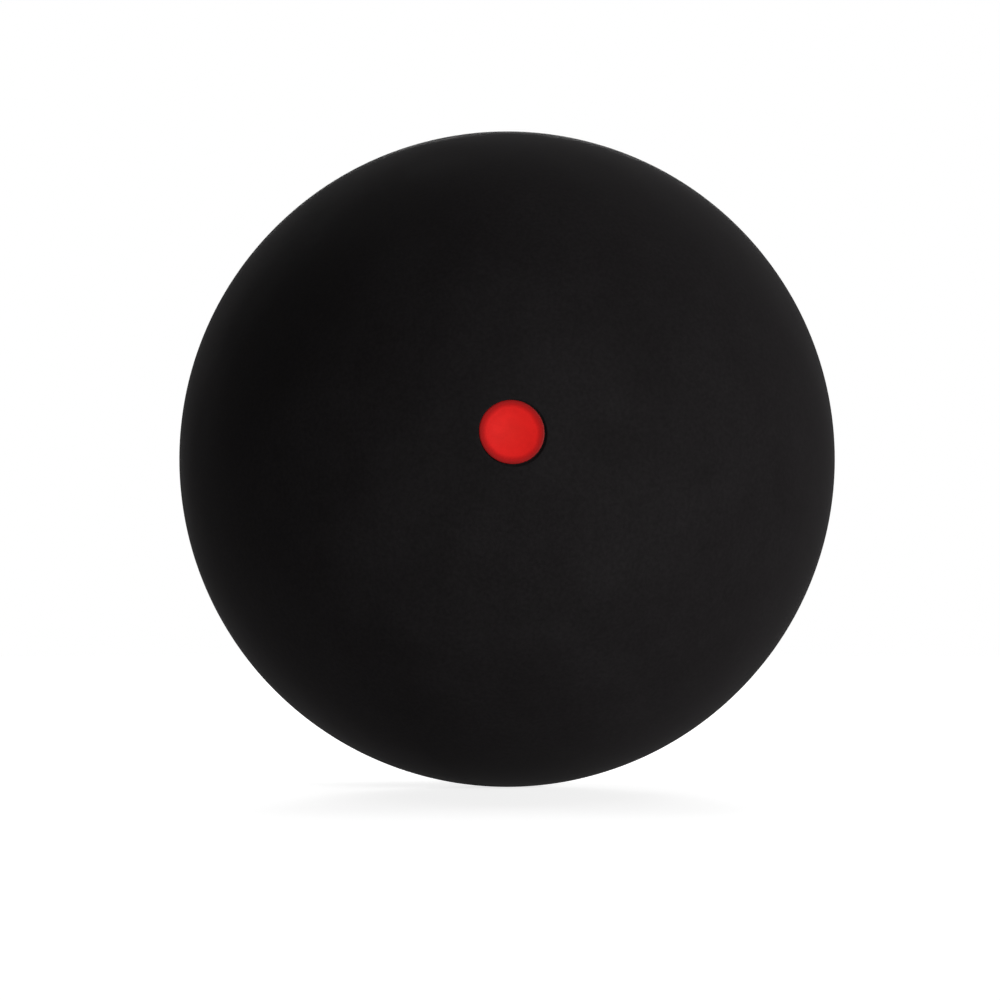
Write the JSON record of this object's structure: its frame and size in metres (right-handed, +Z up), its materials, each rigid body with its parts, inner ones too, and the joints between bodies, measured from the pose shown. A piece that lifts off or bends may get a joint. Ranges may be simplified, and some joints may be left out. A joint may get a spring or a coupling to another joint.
{
  "type": "squash ball",
  "caption": "Small hollow matte black rubber ball for racket sport, moulded as half-shells bonded rim to rim, with a round red speed dot inlaid in the front.",
  "frame": {"origin": "centre of the ball", "axes": "+Z up; the red dot faces the front, -Y, turned 4.6 degrees upwards; +Y is the axis of both half-shells, square to the seam plane XZ"},
  "size_m": [0.038, 0.038, 0.038],
  "materials": {
    "black_rubber": "matte",
    "rubber_cement": "satin",
    "red_dot": "matte"
  },
  "bodies": {
    "root": {"front_half_shell": "black_rubber", "rear_half_shell": "black_rubber", "seam_bond": "rubber_cement", "colour_dot": "red_dot"}
  },
  "joints": []
}
